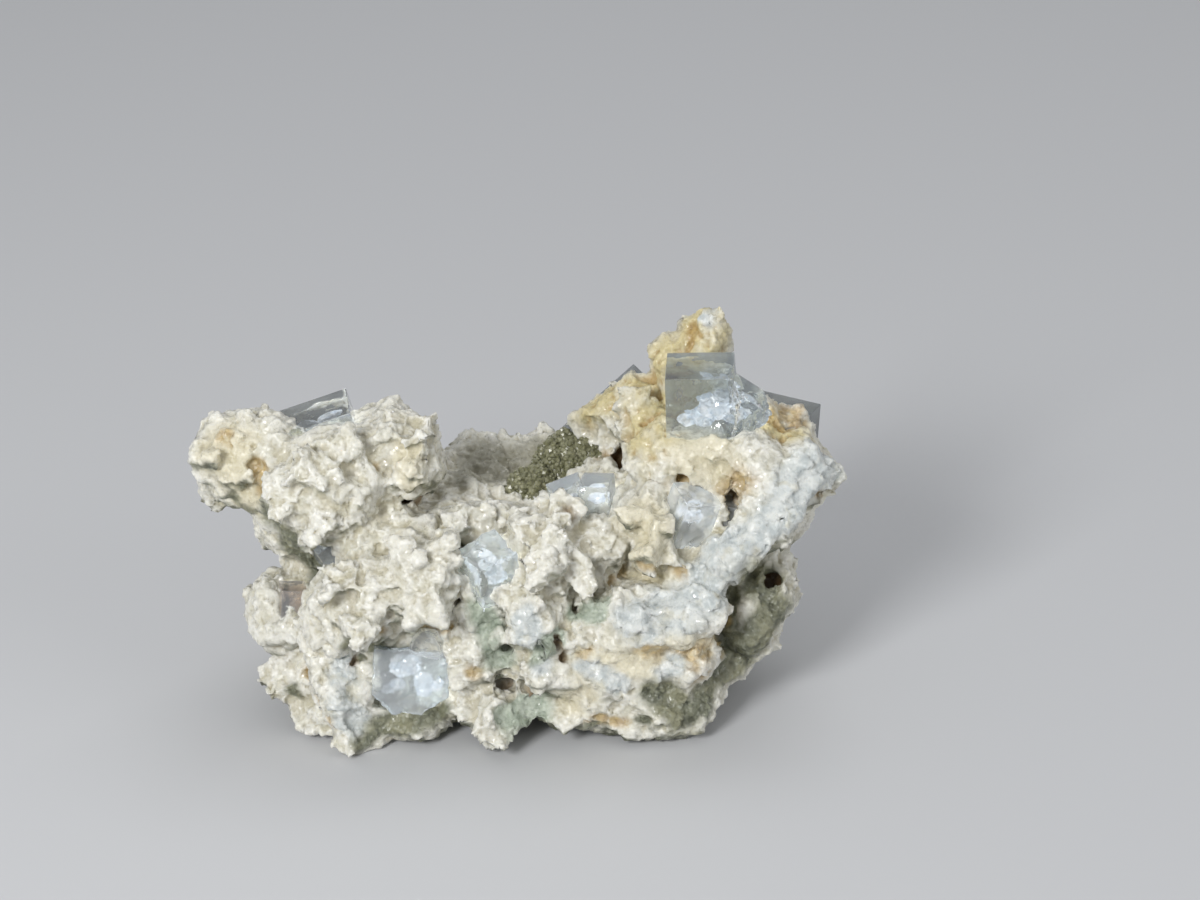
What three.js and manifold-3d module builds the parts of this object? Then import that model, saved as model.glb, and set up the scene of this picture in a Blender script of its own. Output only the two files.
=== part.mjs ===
// Fluorite with dolomite: a hand-sized mineral specimen, 117 mm wide.
//
// A lumpy crust of saddle dolomite, grown over a piece of grey-green host rock, is one mass.
// Clear fluorite cubes sit in it, each a crystal of its own, and one ledge carries a druse of
// tiny olive crystals. The frame is +Z up, X to the right, Y away from the viewer, millimetres,
// with the origin on the ground below the middle of the specimen.
import * as THREE from "three";
import { ImprovedNoise } from "three/addons/math/ImprovedNoise.js";
import { mergeVertices } from "three/addons/utils/BufferGeometryUtils.js";
import Module from "manifold-3d";

const wasm = await Module();
wasm.setup();

// The specimen is described as it is seen from in front, from above level: a place is how far
// across and up it appears on the sight plane through the origin, and how far back it lies.
const SIGHT_TILT = THREE.MathUtils.degToRad(25);
const SIGHT_DISTANCE = 619;
const SIGHT_ACROSS = 14.3;
const SIGHT_UP = 42.5;

const CLEARANCE = 0.3; // between a crystal and the pocket that it sits in
const CRUST_ROUGHNESS = 1.1; // how far the crust wanders from its lumps
const CORNER_LIFT = 0.45; // how far a facet's corner stands out, because its middle lies deeper
const CRUST_BUMP = 3.1; // wavelength of that wandering
const RHOMB_LEAN = 0.3; // shear of a dolomite rhomb, per side
const RHOMB_DEPTH = 0.1; // how far a rhomb's middle lies in the crust, as a share of its size
const DRUSE_CRYSTAL = 2; // radius of a crystal in the druse
const PIT_ROUGHNESS = 0.3; // share of its radius that a pit's wall wanders
const GROUND_BOX = 200;

// From the place where the line of sight's plane meets the ground to the middle of the specimen.
const FRAME_SHIFT = new THREE.Vector3(0.07, 1.6, 0);

const dolomiteWhite = new THREE.MeshStandardMaterial({ color: 0xded8cb, roughness: 0.55 });
const fluoriteClear = new THREE.MeshStandardMaterial({
  color: 0xc9d6de,
  roughness: 0.05,
  transparent: true,
  opacity: 0.5,
});
const druseOlive = new THREE.MeshStandardMaterial({ color: 0x8a8560, roughness: 0.35 });

// A place on the sight plane, at a given distance back, as a point in the specimen's frame.
function seen(across, up, back) {
  const sin = Math.sin(SIGHT_TILT);
  const cos = Math.cos(SIGHT_TILT);
  const eye = new THREE.Vector3(
    SIGHT_ACROSS,
    SIGHT_UP * sin - SIGHT_DISTANCE * cos,
    SIGHT_UP * cos + SIGHT_DISTANCE * sin,
  );
  const onPlane = new THREE.Vector3(across, up * sin, up * cos);
  const ray = onPlane.sub(eye);
  return eye.addScaledVector(ray, (back - eye.y) / ray.y);
}

// A repeatable stream of numbers from 0 to 1.
function randomStream(seed) {
  let state = seed;
  return () => {
    state = (state * 1664525 + 1013904223) % 4294967296;
    return state / 4294967296;
  };
}

// A closed geometry as a solid that can be joined and cut.
function solid(geometry) {
  const bare = geometry.clone();
  bare.deleteAttribute("normal");
  bare.deleteAttribute("uv");
  const merged = mergeVertices(bare, 1e-4);
  return new wasm.Manifold(
    new wasm.Mesh({
      numProp: 3,
      vertProperties: merged.attributes.position.array,
      triVerts: new Uint32Array(merged.index.array),
    }),
  );
}

const join = (solids) => solids.reduce((whole, next) => whole.add(next));

// The largest body of a solid, with no chips beside it and no closed bubbles inside it.
const mainBody = (shape) =>
  shape.decompose().reduce((main, next) => (next.volume() > main.volume() ? next : main));

function namedMesh(name, shape, material) {
  const { vertProperties, triVerts } = shape.getMesh();
  const geometry = new THREE.BufferGeometry();
  geometry.setAttribute("position", new THREE.BufferAttribute(vertProperties, 3));
  geometry.setIndex(new THREE.BufferAttribute(triVerts, 1));
  geometry.computeVertexNormals();
  const mesh = new THREE.Mesh(geometry, material);
  mesh.name = name;
  mesh.position.copy(FRAME_SHIFT);
  return mesh;
}

const noise = new ImprovedNoise();

// A lump is an ellipsoid: its centre, its half sizes, and a roll that lifts its right side.
function lump(centre, half, roll = 0) {
  const toUnitBall = new THREE.Matrix4()
    .makeTranslation(centre)
    .multiply(new THREE.Matrix4().makeRotationY(THREE.MathUtils.degToRad(-roll)))
    .scale(new THREE.Vector3(...half))
    .invert();
  return { toUnitBall };
}

// How far along a ray a lump's near and far side lie, or null where the ray misses it.
function sidesOf({ toUnitBall }, origin, direction) {
  const start = origin.clone().applyMatrix4(toUnitBall);
  const step = origin.clone().add(direction).applyMatrix4(toUnitBall).sub(start);
  const lengthSq = step.lengthSq();
  const along = start.dot(step);
  const inside = along * along - lengthSq * (start.lengthSq() - 1);
  if (inside < 0) return null;
  const half = Math.sqrt(inside);
  return { near: (-along - half) / lengthSq, far: (-along + half) / lengthSq };
}

// A rind: a ball of facets, blown up from its middle until it lies on its outermost lumps.
function rind(middle, spread, detail, lumps) {
  const geometry = new THREE.IcosahedronGeometry(1, detail);
  const corners = geometry.attributes.position;
  const origin = new THREE.Vector3(...middle);
  const direction = new THREE.Vector3();
  for (let i = 0; i < corners.count; i++) {
    direction.fromBufferAttribute(corners, i).multiply(new THREE.Vector3(...spread)).normalize();
    const reaches = lumps.map((one) => sidesOf(one, origin, direction)?.far ?? 0);
    const reach = Math.max(...reaches) + CORNER_LIFT;
    const corner = origin.clone().addScaledVector(direction, reach);
    const near = corner.clone().divideScalar(CRUST_BUMP);
    corner.addScaledVector(direction, CRUST_ROUGHNESS * noise.noise(near.x, near.y, near.z));
    corners.setXYZ(i, corner.x, corner.y, corner.z);
  }
  return solid(geometry);
}

// A pit: a rough hollow ball that is cut out of the crust.
function pit(centre, half, roll = 0) {
  const geometry = new THREE.IcosahedronGeometry(1);
  const corners = geometry.attributes.position;
  const corner = new THREE.Vector3();
  for (let i = 0; i < corners.count; i++) {
    corner.fromBufferAttribute(corners, i);
    const swell = noise.noise(corner.x + centre.x, corner.y + centre.y, corner.z + centre.z);
    corner.multiplyScalar(1 + PIT_ROUGHNESS * swell);
    corners.setXYZ(i, corner.x, corner.y, corner.z);
  }
  geometry.scale(...half);
  geometry.rotateY(THREE.MathUtils.degToRad(-roll));
  geometry.translate(centre.x, centre.y, centre.z);
  return solid(geometry);
}

// Lumps that show from in front: across, up, back, [half width, half depth, half height], roll.
const LEFT_CROWN = [
  [-53, 41, -4, [7.2, 8, 8.2]], // the knob at the far left
  [-57, 34.6, -5, [2.4, 3, 2.6]],
  [-50, 47.6, 1, [3.2, 3, 2.6]],
  [-46.3, 46.2, -4, [2.2, 3, 3.6], 15],
  [-47.5, 38, -5, [4.5, 6, 6]],
  [-37, 35.7, -11, [10.8, 10, 10.6]], // the big front lump
  [-38, 28.5, -13, [6.5, 6, 5]],
  [-46, 42.6, -6, [4.4, 6, 6.4]], // what joins the knob to it
  [-29, 40, -5.5, [4.6, 7, 7]],
  [-22, 41.6, -7, [6.7, 7.5, 8], 10], // the right-hand lump
  [-25.5, 46.5, -2, [5, 6, 5]],
  [-19, 40, -6, [4, 5, 5]],
  [-34, 42, 2, [9, 7, 7]], // what the crown cube stands on
  [-39, 24.5, 1, [4.6, 8, 7]], // the host rock in the recess below
];

const LOWER_LEFT = [
  [-31, 14.2, -20, [9, 8.5, 8]], // the big rounded lump low on the left
  [-36, 9.5, -19, [5, 6, 5]],
  [-44.4, 12.6, -10, [5.4, 8, 6.6]],
  [-43.4, 1.2, -13, [4.6, 7, 3.7]],
  [-37.5, 3, -10, [6.4, 9, 7]],
  [-38.5, -4.4, -15, [4.4, 8, 3.8]],
  [-33.4, -2.6, -23, [4.2, 7, 9], 25], // the broken wedge
  [-31, -9.5, -25, [3.6, 5.5, 5.4]],
  [-22, -6, -19, [9, 8, 4.6]], // the shelf below the sunken cube
  [-20, -1, -16, [9, 6, 8]],
  [-17, 7.5, -19, [6, 5, 4]],
  [-19, 17.8, -20.5, [6.6, 7.5, 8.4], -12], // the white slope
  [-24, 27.6, -12, [5.6, 7, 4.4]],
  [-28.6, 25.4, -14, [4.6, 6, 5]],
  [-31.4, 28.6, -13.5, [4.4, 6, 3.6]],
  [-35, 24, -6, [5.5, 6, 5]],
];

const FRONT = [
  [-10.5, 4, -20, [4.8, 6, 5.6]],
  [-11.2, -2, -17, [4.6, 7, 4.4]],
  [-4, -7, -24.5, [5.2, 6, 6]], // the middle foot
  [-7.5, 9.5, -19, [4.2, 6, 6.4]],
  [-2, 4.5, -15, [5, 6, 7]],
  [4.2, 3, -23, [5.6, 6, 4.2]],
  [7.5, -3.5, -19, [5.8, 7, 4]],
  [14, 2, -21, [5.6, 6, 5]],
  [17, -5.4, -19, [5.6, 7, 4.2]],
  [22.5, 3.4, -20, [6, 6, 5]],
  [2, 11.2, -24, [4.6, 5, 6.4], 8],
  [16, 12, -21, [4.6, 6, 4.6]],
  [8, 8.5, -20, [4.4, 5, 3.6]],
  [2.6, 24.6, -17, [7.4, 8, 6.2]], // the middle lump
  [-6.5, 19.5, -19, [5.2, 6, 6.6]],
  [8.5, 25.5, -13, [4, 5, 4.4]],
  [15, 25.2, -13, [5, 6, 4.6]],
  [10.5, 8, -19.6, [6.4, 6, 6.4], 35], // the broken face between the foot and the band
  [18.6, 7.4, -20.4, [6.6, 6, 8.2], 40],
  [12, -1.6, -20, [6.6, 6, 5.4], -35],
  [21.4, -1.4, -19.4, [6.4, 6, 6], 40],
  [27, -0.4, -18.6, [5.4, 6, 6.4]],
  [22.5, 11, -22, [6.8, 6, 5.8]], // the broken band begins
  [31, 13.6, -20, [7, 6, 6.4], 20],
  [29.5, 5, -19, [6, 6, 5]],
  [38.2, 5, -10, [4.3, 7, 4]], // host rock
  [33, -0.2, -14, [3.8, 8, 4.6]],
  [28.6, -5.4, -20, [5, 5.5, 6.4], -20],
];

const SHOULDER = [
  [38.5, 22.6, -17, [8.4, 6, 5.2], 42], // the broken band goes on up to the right tip
  [46, 30.2, -13, [8.4, 7, 5.4], 42],
  [52.2, 37.6, -8, [4.8, 6, 6.4], 10],
  [56.6, 35.6, -7, [3.1, 4, 3], 35],
  [55, 40.6, -3, [2.2, 5, 2.6]],
  [41.8, 13, -8, [6, 9, 8.4]], // host rock
  [46.4, 17.2, -6, [4, 7, 6.8], -10],
  [44.2, 47, 1, [3.8, 6, 4.6]],
  [41.5, 40.4, -7, [6.8, 7, 6.2]],
  [50.3, 42.4, -2, [4.2, 6, 4]],
  [49.4, 45.4, 3.6, [4.4, 5, 4.8], 30], // the brown rock behind them
  [42.6, 33.6, -13, [3.7, 4, 2.8]],
];

const SADDLE = [
  [22.6, 27, -14, [5.3, 7, 8.3]], // the lump between the cubes
  [28.5, 20.5, -16, [6.4, 6, 4.6]],
  [-14.6, 27, -9, [7, 8, 4.6]],
  [-6, 28.4, -9, [4.8, 6, 4]],
  [-16.2, 33.4, 3, [3.6, 5, 4]],
  [-9, 34, 4, [4.6, 5, 3.8]],
  [-16, 38, 13, [4, 6, 3.2]],
  [-9.6, 40.6, 19, [5.4, 7, 4]], // the ridge at the back
  [1.4, 41, 20, [6, 7, 4]],
  [-3, 36.5, 14, [5, 6, 3.4]],
  [8, 37.6, 15, [7.4, 7, 6], 15],
  [18, 37.6, 4, [6, 7, 3.6]],
];

const TOWER = [
  [31, 41.6, -3, [10.6, 9, 7.4]], // the cream base
  [31, 28, -10, [6, 6, 6]],
  [35, 35.6, -9, [5, 5, 3.6]],
  [33, 51, 6, [6.6, 6.5, 10.4]],
  [34.6, 62.4, 8, [3.3, 4.4, 6], -6],
  [35, 67.6, 8, [1.8, 2.2, 2.6]],
  [31.4, 62.6, 8.5, [2.9, 3.5, 3.9], 25],
  [27.6, 58.8, 8, [3.8, 4.4, 5.2]],
  [21.8, 53.6, 9, [3.2, 4, 3.8], 30],
  [22.4, 46, 3, [4.2, 6, 6.4]],
  [16.6, 50.4, 10, [8, 4, 2.8], 32], // the arm that runs down to the left
  [18.4, 45, 11, [5.6, 5, 5.6]], // the rock in its shade
  [13.4, 43.4, 14.6, [5.4, 5, 4.4], 20],
];

// The rinds, in the specimen's own frame: middle, spread of the facets, how finely they are cut,
// the lumps that show, and the lumps inside and on the hidden sides as centre and half sizes.
const RINDS = [
  {
    middle: [-38, -2, 42],
    spread: [17, 13, 12],
    detail: 6,
    lumps: LEFT_CROWN,
    hidden: [
      [[-36, -3, 38], [12, 11, 12]],
      [[-38, 8, 35], [8.6, 9, 9.6]],
      [[-24, 9, 37], [9, 9.5, 9]],
      [[-30, 4, 24], [9, 12, 10]],
    ],
  },
  {
    middle: [-22, -4, 17],
    spread: [26, 24, 19],
    detail: 6,
    lumps: LOWER_LEFT,
    hidden: [
      [[-20, -4, 19], [23, 19, 14.5]],
      [[-29, 14, 14], [12, 12, 13]],
      [[-26, 15, 3.4], [11, 9, 6]],
      [[-24, -12, 11], [14, 13, 8.6]],
    ],
  },
  {
    middle: [10, -2, 17],
    spread: [31, 24, 19],
    detail: 7,
    lumps: FRONT,
    hidden: [
      [[8, -2, 18], [29, 20, 14.5]],
      [[-6, 20, 18], [14, 9.5, 14]],
      [[14, 20, 16], [14, 10, 14.5]],
      [[4, 20, 3.6], [12, 8, 7]],
      [[28, 8, 6], [10, 9, 8]],
      [[8, -13, 14], [28, 10.5, 10.5]],
    ],
  },
  {
    middle: [40, -2, 30],
    spread: [15, 15, 19],
    detail: 5,
    lumps: SHOULDER,
    hidden: [
      [[34, 2, 26], [14, 15, 15]],
      [[44.5, 8, 34], [9, 9, 9]],
      [[38, 5, 21], [9, 11, 9]],
    ],
  },
  {
    middle: [4, 5, 28],
    spread: [28, 22, 15],
    detail: 5,
    lumps: SADDLE,
    hidden: [
      [[4, 2, 26], [25, 15, 9.5]],
      [[-2, 20, 26], [16, 9, 9]],
      [[7, 14, 32], [10, 8, 7.5]],
      [[20, 22, 29], [13, 9, 9]],
    ],
  },
  {
    middle: [30, 4, 48],
    spread: [11, 10, 16],
    detail: 5,
    lumps: TOWER,
    hidden: [
      [[30, 4, 44], [9.5, 9, 9]],
      [[32, 15, 32], [12, 10, 12.5]],
      [[31, 6, 36], [11, 12, 10]],
    ],
  },
];

// Holes and clefts, from the surface inwards: across, up, [half width, depth, half height], roll.
const PITS = [
  [29, 37.2, [2.2, 4, 2.4], 20],
  [38.6, 33.6, [2, 6, 2.8], 20],
  [34, 4.4, [1.8, 4, 1.5], -20],
  [31.6, 1.6, [1.6, 4, 1.4]],
  [46.4, 18.4, [2, 5, 2.5]],
  [47.6, 23.4, [1.1, 4, 2], -25],
  [37, 10.6, [1.2, 3, 1.5]],
  [-30.4, 5.8, [3.8, 5, 2.4], -25],
  [-13, 10, [2.6, 4, 1.3], 10],
  [-2.6, 8.6, [2.2, 6, 3.2], -10],
  [-2, -1.4, [5.4, 9, 2.2]],
  [9.4, 13, [3.2, 5, 1.5], 35],
  [13.4, 15.6, [2.2, 5, 1.3], 40],
  [6, 6.8, [1.2, 4, 2], 30],
  [18.5, 40.5, [2.8, 6, 2.6], 20],
  [-39.2, 0.8, [1.5, 4, 2.2], -15],
  [-44.4, 8.2, [1.8, 4, 1.7]],
  [-37.4, 24.4, [3.2, 6, 2], -20],
  [-22.6, 33.6, [4, 6, 1.6]],
];

// Rhombs of dolomite stand out of the crust in these places: across, up, radius of the patch,
// how many, and the size of one.
const RHOMB_PATCHES = [
  [-53, 42, 6, 5, 4],
  [-37, 36, 8, 5, 4.8],
  [-22, 43, 6, 4, 4.2],
  [-31, 15, 6.5, 4, 5],
  [-45, 12, 4, 1, 3.8],
  [-19, 18, 6.5, 4, 4.8],
  [-14, 28, 5, 1, 4.4],
  [3, 26, 6, 4, 4.4],
  [11.4, 19.4, 2.2, 1, 6.4],
  [23, 28, 5.5, 3, 4],
  [31, 42, 7.5, 1, 4],
  [18, 51, 6, 3, 3.4],
];

// One rhombohedron: a box leaned over along two of its sides, a corner outwards.
function rhomb(centre, size, turn) {
  const geometry = new THREE.BoxGeometry(size, size, size);
  geometry.applyMatrix4(
    new THREE.Matrix4().set(
      1, RHOMB_LEAN, RHOMB_LEAN, 0,
      0, 1, RHOMB_LEAN, 0,
      0, 0, 1, 0,
      0, 0, 0, 1,
    ),
  );
  geometry.applyMatrix4(new THREE.Matrix4().makeRotationFromEuler(turn));
  geometry.translate(centre.x, centre.y, centre.z);
  return solid(geometry);
}

const lumpsOf = ({ lumps, hidden }) => [
  ...lumps.map(([across, up, back, half, roll]) => lump(seen(across, up, back), half, roll)),
  ...hidden.map(([centre, half]) => lump(new THREE.Vector3(...centre), half)),
];

const allLumps = RINDS.flatMap(lumpsOf);

// The crust's surface under a place on the sight plane: where the line of sight first meets a
// lump. Beside the specimen there is none, and the place is infinitely far away.
function surfaceAt(across, up) {
  const origin = seen(across, up, -SIGHT_DISTANCE / 2);
  const direction = seen(across, up, SIGHT_DISTANCE / 2).sub(origin).normalize();
  const hits = allLumps.map((one) => sidesOf(one, origin, direction)?.near ?? Infinity);
  const nearest = Math.min(...hits);
  return origin.addScaledVector(direction, nearest);
}

function rhombs() {
  const random = randomStream(7);
  const made = [];
  for (const [across, up, radius, count, size] of RHOMB_PATCHES) {
    for (let i = 0; i < count; i++) {
      const angle = i * 2.4;
      const out = radius * Math.sqrt((i + 0.5) / count);
      const spot = surfaceAt(across + out * Math.cos(angle), up + out * Math.sin(angle));
      if (!Number.isFinite(spot.y)) continue;
      const scale = size * (0.7 + 0.6 * random());
      const turn = new THREE.Euler(random() * 3, random() * 3, random() * 3);
      spot.y += RHOMB_DEPTH * scale;
      made.push(rhomb(spot, scale, turn));
    }
  }
  return made;
}

// Fluorite: each crystal is one or more cubes grown together. A cube's row is across, up, back,
// [width, depth, height], roll, yaw and pitch in degrees.
const FLUORITE = {
  fluorite_tower_cube: [
    [33, 52.4, -3, [11, 11, 11], 2, -3, 0],
    [39.2, 50, -3.6, [7.8, 8, 7.8], -35, 8, 0],
  ],
  fluorite_right_shoulder_cube: [[45.8, 43.8, 7, [12.6, 12.6, 12.6], -3, -25, 0]],
  fluorite_back_cube: [[20.3, 42, 23, [19.5, 16, 19.5], 44, 0, 0]],
  fluorite_crown_cube: [[-36.6, 43.9, -3, [11.6, 11, 11.6], 17, 8, 0]],
  fluorite_sunken_cube: [[-21.2, 1, -20.5, [12.6, 10, 11], -5, 6, -12]],
  fluorite_middle_crystal: [[-6.4, 20, -22, [7, 7, 9.4], 14, 30, 20]],
  fluorite_ledge_pair: [
    [9, 33.4, -7, [5.4, 5, 5.4], 14, 20, 0],
    [13.8, 33.4, -8, [4.6, 5, 6.6], 4, -12, 0],
  ],
  fluorite_hollow_crystal: [[31, 30.4, -14, [6, 6, 8.6], -12, 25, 10]],
  fluorite_hollow_small: [[36.8, 31.2, -11, [4, 5, 4], -20, 10, 0]],
  fluorite_knob_crystal: [[-42.8, 14, -14.5, [3.6, 5, 5.6], -6, 10, -10]],
  fluorite_recess_crystal: [[-35.8, 24, -15.4, [4.4, 4.5, 4.4], 30, 25, 15]],
  fluorite_shelf_crystal: [[-17.4, 7.4, -23.2, [4.6, 4, 4], -8, -14, 0]],
};

function fluoriteCube([across, up, back, size, roll, yaw, pitch], grow) {
  const geometry = new THREE.BoxGeometry(...size.map((s) => s + 2 * grow));
  geometry.rotateX(THREE.MathUtils.degToRad(pitch));
  geometry.rotateZ(THREE.MathUtils.degToRad(yaw));
  geometry.rotateY(THREE.MathUtils.degToRad(-roll));
  const centre = seen(across, up, back);
  geometry.translate(centre.x, centre.y, centre.z);
  return solid(geometry);
}

const fluoriteCrystal = (cubes, grow = 0) => join(cubes.map((cube) => fluoriteCube(cube, grow)));

// The druse: a thin bed on a sloping ledge, with small octahedral crystals all over it.
// A bed is across, up, back, [half width, half thickness, half height], roll, how many crystals.
const DRUSE_SLOPE = THREE.MathUtils.degToRad(-41);
const DRUSE_BEDS = [
  [8.2, 39.4, 9, [7, 1.6, 7], 28, 14],
  [1.4, 35.4, 5, [4.8, 1.8, 4.2], 10, 5],
];

function druse(grow = 0) {
  const random = randomStream(21);
  const parts = [];
  for (const [across, up, back, half, roll, count] of DRUSE_BEDS) {
    const place = new THREE.Matrix4()
      .makeTranslation(seen(across, up, back))
      .multiply(new THREE.Matrix4().makeRotationY(THREE.MathUtils.degToRad(-roll)))
      .multiply(new THREE.Matrix4().makeRotationX(DRUSE_SLOPE));
    const bed = new THREE.IcosahedronGeometry(1, 1);
    bed.scale(...half.map((h) => h + grow));
    bed.applyMatrix4(place);
    parts.push(solid(bed));
    for (let i = 0; i < count; i++) {
      const angle = i * 2.4;
      const out = 0.92 * Math.sqrt((i + 0.5) / count);
      const bulge = Math.sqrt(1 - out * out);
      const radius = DRUSE_CRYSTAL * (0.75 + 0.5 * random());
      const crystal = new THREE.OctahedronGeometry(radius + grow);
      crystal.rotateX(random() * 3);
      crystal.rotateZ(random() * 3);
      crystal.translate(
        out * Math.cos(angle) * half[0],
        -bulge * half[1],
        out * Math.sin(angle) * half[2],
      );
      crystal.applyMatrix4(place);
      parts.push(solid(crystal));
    }
  }
  return join(parts);
}

function dolomiteMass() {
  const rinds = RINDS.map((one) => rind(one.middle, one.spread, one.detail, lumpsOf(one)));
  const pits = PITS.map(([across, up, half, roll]) => pit(surfaceAt(across, up), half, roll));
  const ground = new THREE.BoxGeometry(GROUND_BOX, GROUND_BOX, GROUND_BOX);
  ground.translate(0, 0, -GROUND_BOX / 2);
  const pockets = Object.values(FLUORITE).map((cubes) => fluoriteCrystal(cubes, CLEARANCE));
  const cuts = join([...pits, ...pockets, druse(CLEARANCE), solid(ground)]);
  return mainBody(join([...rinds, ...rhombs()]).subtract(cuts));
}

const specimen = new THREE.Group();
specimen.add(namedMesh("dolomite_mass", dolomiteMass(), dolomiteWhite));
specimen.add(namedMesh("olive_druse", druse(), druseOlive));
for (const [name, cubes] of Object.entries(FLUORITE)) {
  specimen.add(namedMesh(name, fluoriteCrystal(cubes), fluoriteClear));
}

export default specimen;
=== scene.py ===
import itertools
import math

import bmesh
import bpy
import numpy as np
from mathutils import Euler, Matrix, Vector
from mathutils.bvhtree import BVHTree


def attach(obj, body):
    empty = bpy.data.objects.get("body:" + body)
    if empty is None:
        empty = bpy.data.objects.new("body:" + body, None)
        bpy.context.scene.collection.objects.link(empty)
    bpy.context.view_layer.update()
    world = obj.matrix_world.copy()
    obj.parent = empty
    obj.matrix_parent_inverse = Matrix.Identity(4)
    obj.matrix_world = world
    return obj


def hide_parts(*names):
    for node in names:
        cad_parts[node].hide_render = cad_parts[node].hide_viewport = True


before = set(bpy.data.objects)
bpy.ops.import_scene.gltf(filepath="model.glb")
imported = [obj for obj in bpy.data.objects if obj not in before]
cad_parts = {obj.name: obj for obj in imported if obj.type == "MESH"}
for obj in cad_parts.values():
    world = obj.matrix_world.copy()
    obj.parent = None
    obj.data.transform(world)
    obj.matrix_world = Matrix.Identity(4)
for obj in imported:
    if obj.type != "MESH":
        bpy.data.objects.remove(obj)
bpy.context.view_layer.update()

# The view: a small specimen seen from in front and a little above, through a long lens.
# A place on it is read as how far across and up it appears on the plane of sight, and how far
# back it lies, all in millimetres.
SIGHT_TILT = math.radians(25)
SIGHT_DISTANCE = 619
SIGHT_ACROSS = 14.3
SIGHT_UP = 42.5
FRAME_SHIFT = Vector((0.07, 1.6, 0))
MM = 0.001
EYE = FRAME_SHIFT + Vector((
    SIGHT_ACROSS,
    SIGHT_UP * math.sin(SIGHT_TILT) - SIGHT_DISTANCE * math.cos(SIGHT_TILT),
    SIGHT_UP * math.cos(SIGHT_TILT) + SIGHT_DISTANCE * math.sin(SIGHT_TILT),
))


def seen(across, up, back):
    """A place on the plane of sight, at a distance back, as a point of the frame in metres."""
    on_plane = FRAME_SHIFT + Vector((across, up * math.sin(SIGHT_TILT), up * math.cos(SIGHT_TILT)))
    ray = on_plane - EYE
    return (EYE + ray * ((back + FRAME_SHIFT.y - EYE.y) / ray.y)) * MM


camera = bpy.data.objects.new("camera", bpy.data.cameras.new("camera"))
camera.data.lens = 100
camera.data.sensor_width = 36
camera.data.clip_start = 0.01
camera.location = EYE * MM
camera.rotation_euler = (math.radians(90) - SIGHT_TILT, 0, 0)
bpy.context.collection.objects.link(camera)
bpy.context.scene.camera = camera

# The studio: a pale table top, a large soft light low in front to the left as the specimen was
# lit, a weaker one to the right and a faint one above the back.
STUDIO_LIGHTS = {
    "key": ((-0.38, -0.72, 0.50), 0.26, 6.6),
    "fill": ((0.8, -0.5, 0.4), 0.5, 1.6),
    "top": ((0.15, 0.35, 0.9), 0.5, 1.5),
}


def linear(hex_colour):
    """An sRGB hex colour as linear RGBA."""
    parts = [int(hex_colour[i:i + 2], 16) / 255 for i in (0, 2, 4)]
    return [c / 12.92 if c <= 0.04045 else ((c + 0.055) / 1.055) ** 2.4 for c in parts] + [1]


def add_node(tree, kind, links=None, **settings):
    """Adds a node to a tree. links gives its inputs by name or index: a value or a socket."""
    node = tree.nodes.new(kind)
    for name, value in settings.items():
        setattr(node, name, value)
    for name, value in (links or {}).items():
        if isinstance(value, bpy.types.NodeSocket):
            tree.links.new(value, node.inputs[name])
        else:
            node.inputs[name].default_value = value
    return node


def new_material(name):
    """An empty node material: itself, its tree and its output node."""
    material = bpy.data.materials.new(name)
    material.use_nodes = True
    material.node_tree.nodes.clear()
    return material, material.node_tree, add_node(material.node_tree, "ShaderNodeOutputMaterial")


for name, (place, size, power) in STUDIO_LIGHTS.items():
    light = bpy.data.lights.new(name, "AREA")
    light.size = size
    light.energy = power
    lamp = bpy.data.objects.new(name, light)
    lamp.location = place
    lamp.rotation_euler = (Vector((0, 0, 0.03)) - Vector(place)).to_track_quat("-Z", "Y").to_euler()
    bpy.context.collection.objects.link(lamp)

world = bpy.data.worlds.new("studio")
world.use_nodes = True
world.node_tree.nodes["Background"].inputs["Color"].default_value = linear("e3e5e8")
world.node_tree.nodes["Background"].inputs["Strength"].default_value = 0.5
bpy.context.scene.world = world
bpy.context.scene.view_settings.view_transform = "Standard"

bpy.ops.mesh.primitive_plane_add(size=6)
floor = bpy.context.object
floor.name = "studio_floor"
# Matt laminate: pale and without gloss, so that the specimen's own light and shade show.
table_top, tree, output = new_material("matt_laminate_table_top")
shader = add_node(tree, "ShaderNodeBsdfPrincipled", {"Base Color": linear("c6c7c9"), "Roughness": 0.7})
tree.links.new(shader.outputs["BSDF"], output.inputs["Surface"])
floor.data.materials.append(table_top)

# The dolomite mass: saddle dolomite over a broken piece of host rock, intergrown as one body.
# Its lumps are crowds of curved crystals, frosted and translucent. The front and the right are
# a fresh break, cool white where massive and grey-green and sugary where it is host rock.
VOXEL = 0.00048
MOST_TRIANGLES = 192000
SHARE_LEFT_BEHIND = 0.72  # of all triangles, once the faces that are turned away are thinned
SMOOTHING_ROUNDS = 2
RHOMBS_APART = 0.00145  # the dolomite crystals, 2 to 4 mm wide, overlap like shingles
RHOMB_TRIES = 26000
RHOMB_WIDTHS = (0.0018, 0.0038)
RHOMB_SKEW = 0.3
RIM_WIDTHS = (0.0014, 0.0032)
BLOCK_ROOT = 3.5  # how deep a stone block is rooted, in mm
HOLLOW_DEPTH = 0.0016
STAIN_DEPTH = 0.0005
LEAF = 0.0021  # a leaf of a crystal
CRINKLE = 0.0012  # its curved edge
SUGAR = 0.0014  # a grain of the host rock
CLEAVAGE = 0.0036  # a cleavage flat of the broken band
RIB = 0.0013  # spacing of the tower's upright ribs


def lattice_hash(cell, salt):
    """Repeatable numbers from 0 to 1 for whole-number places."""
    mixed = (cell[:, 0] * 73856093) ^ (cell[:, 1] * 19349663) ^ (cell[:, 2] * 83492791)
    mixed = mixed ^ (salt * 2654435)
    mixed = (mixed * 1103515245 + 12345) & 0x7FFFFFFF
    mixed = ((mixed ^ (mixed >> 13)) * 1274126177) & 0x7FFFFFFF
    return ((mixed >> 7) & 0xFFFF) / 65535.0


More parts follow.
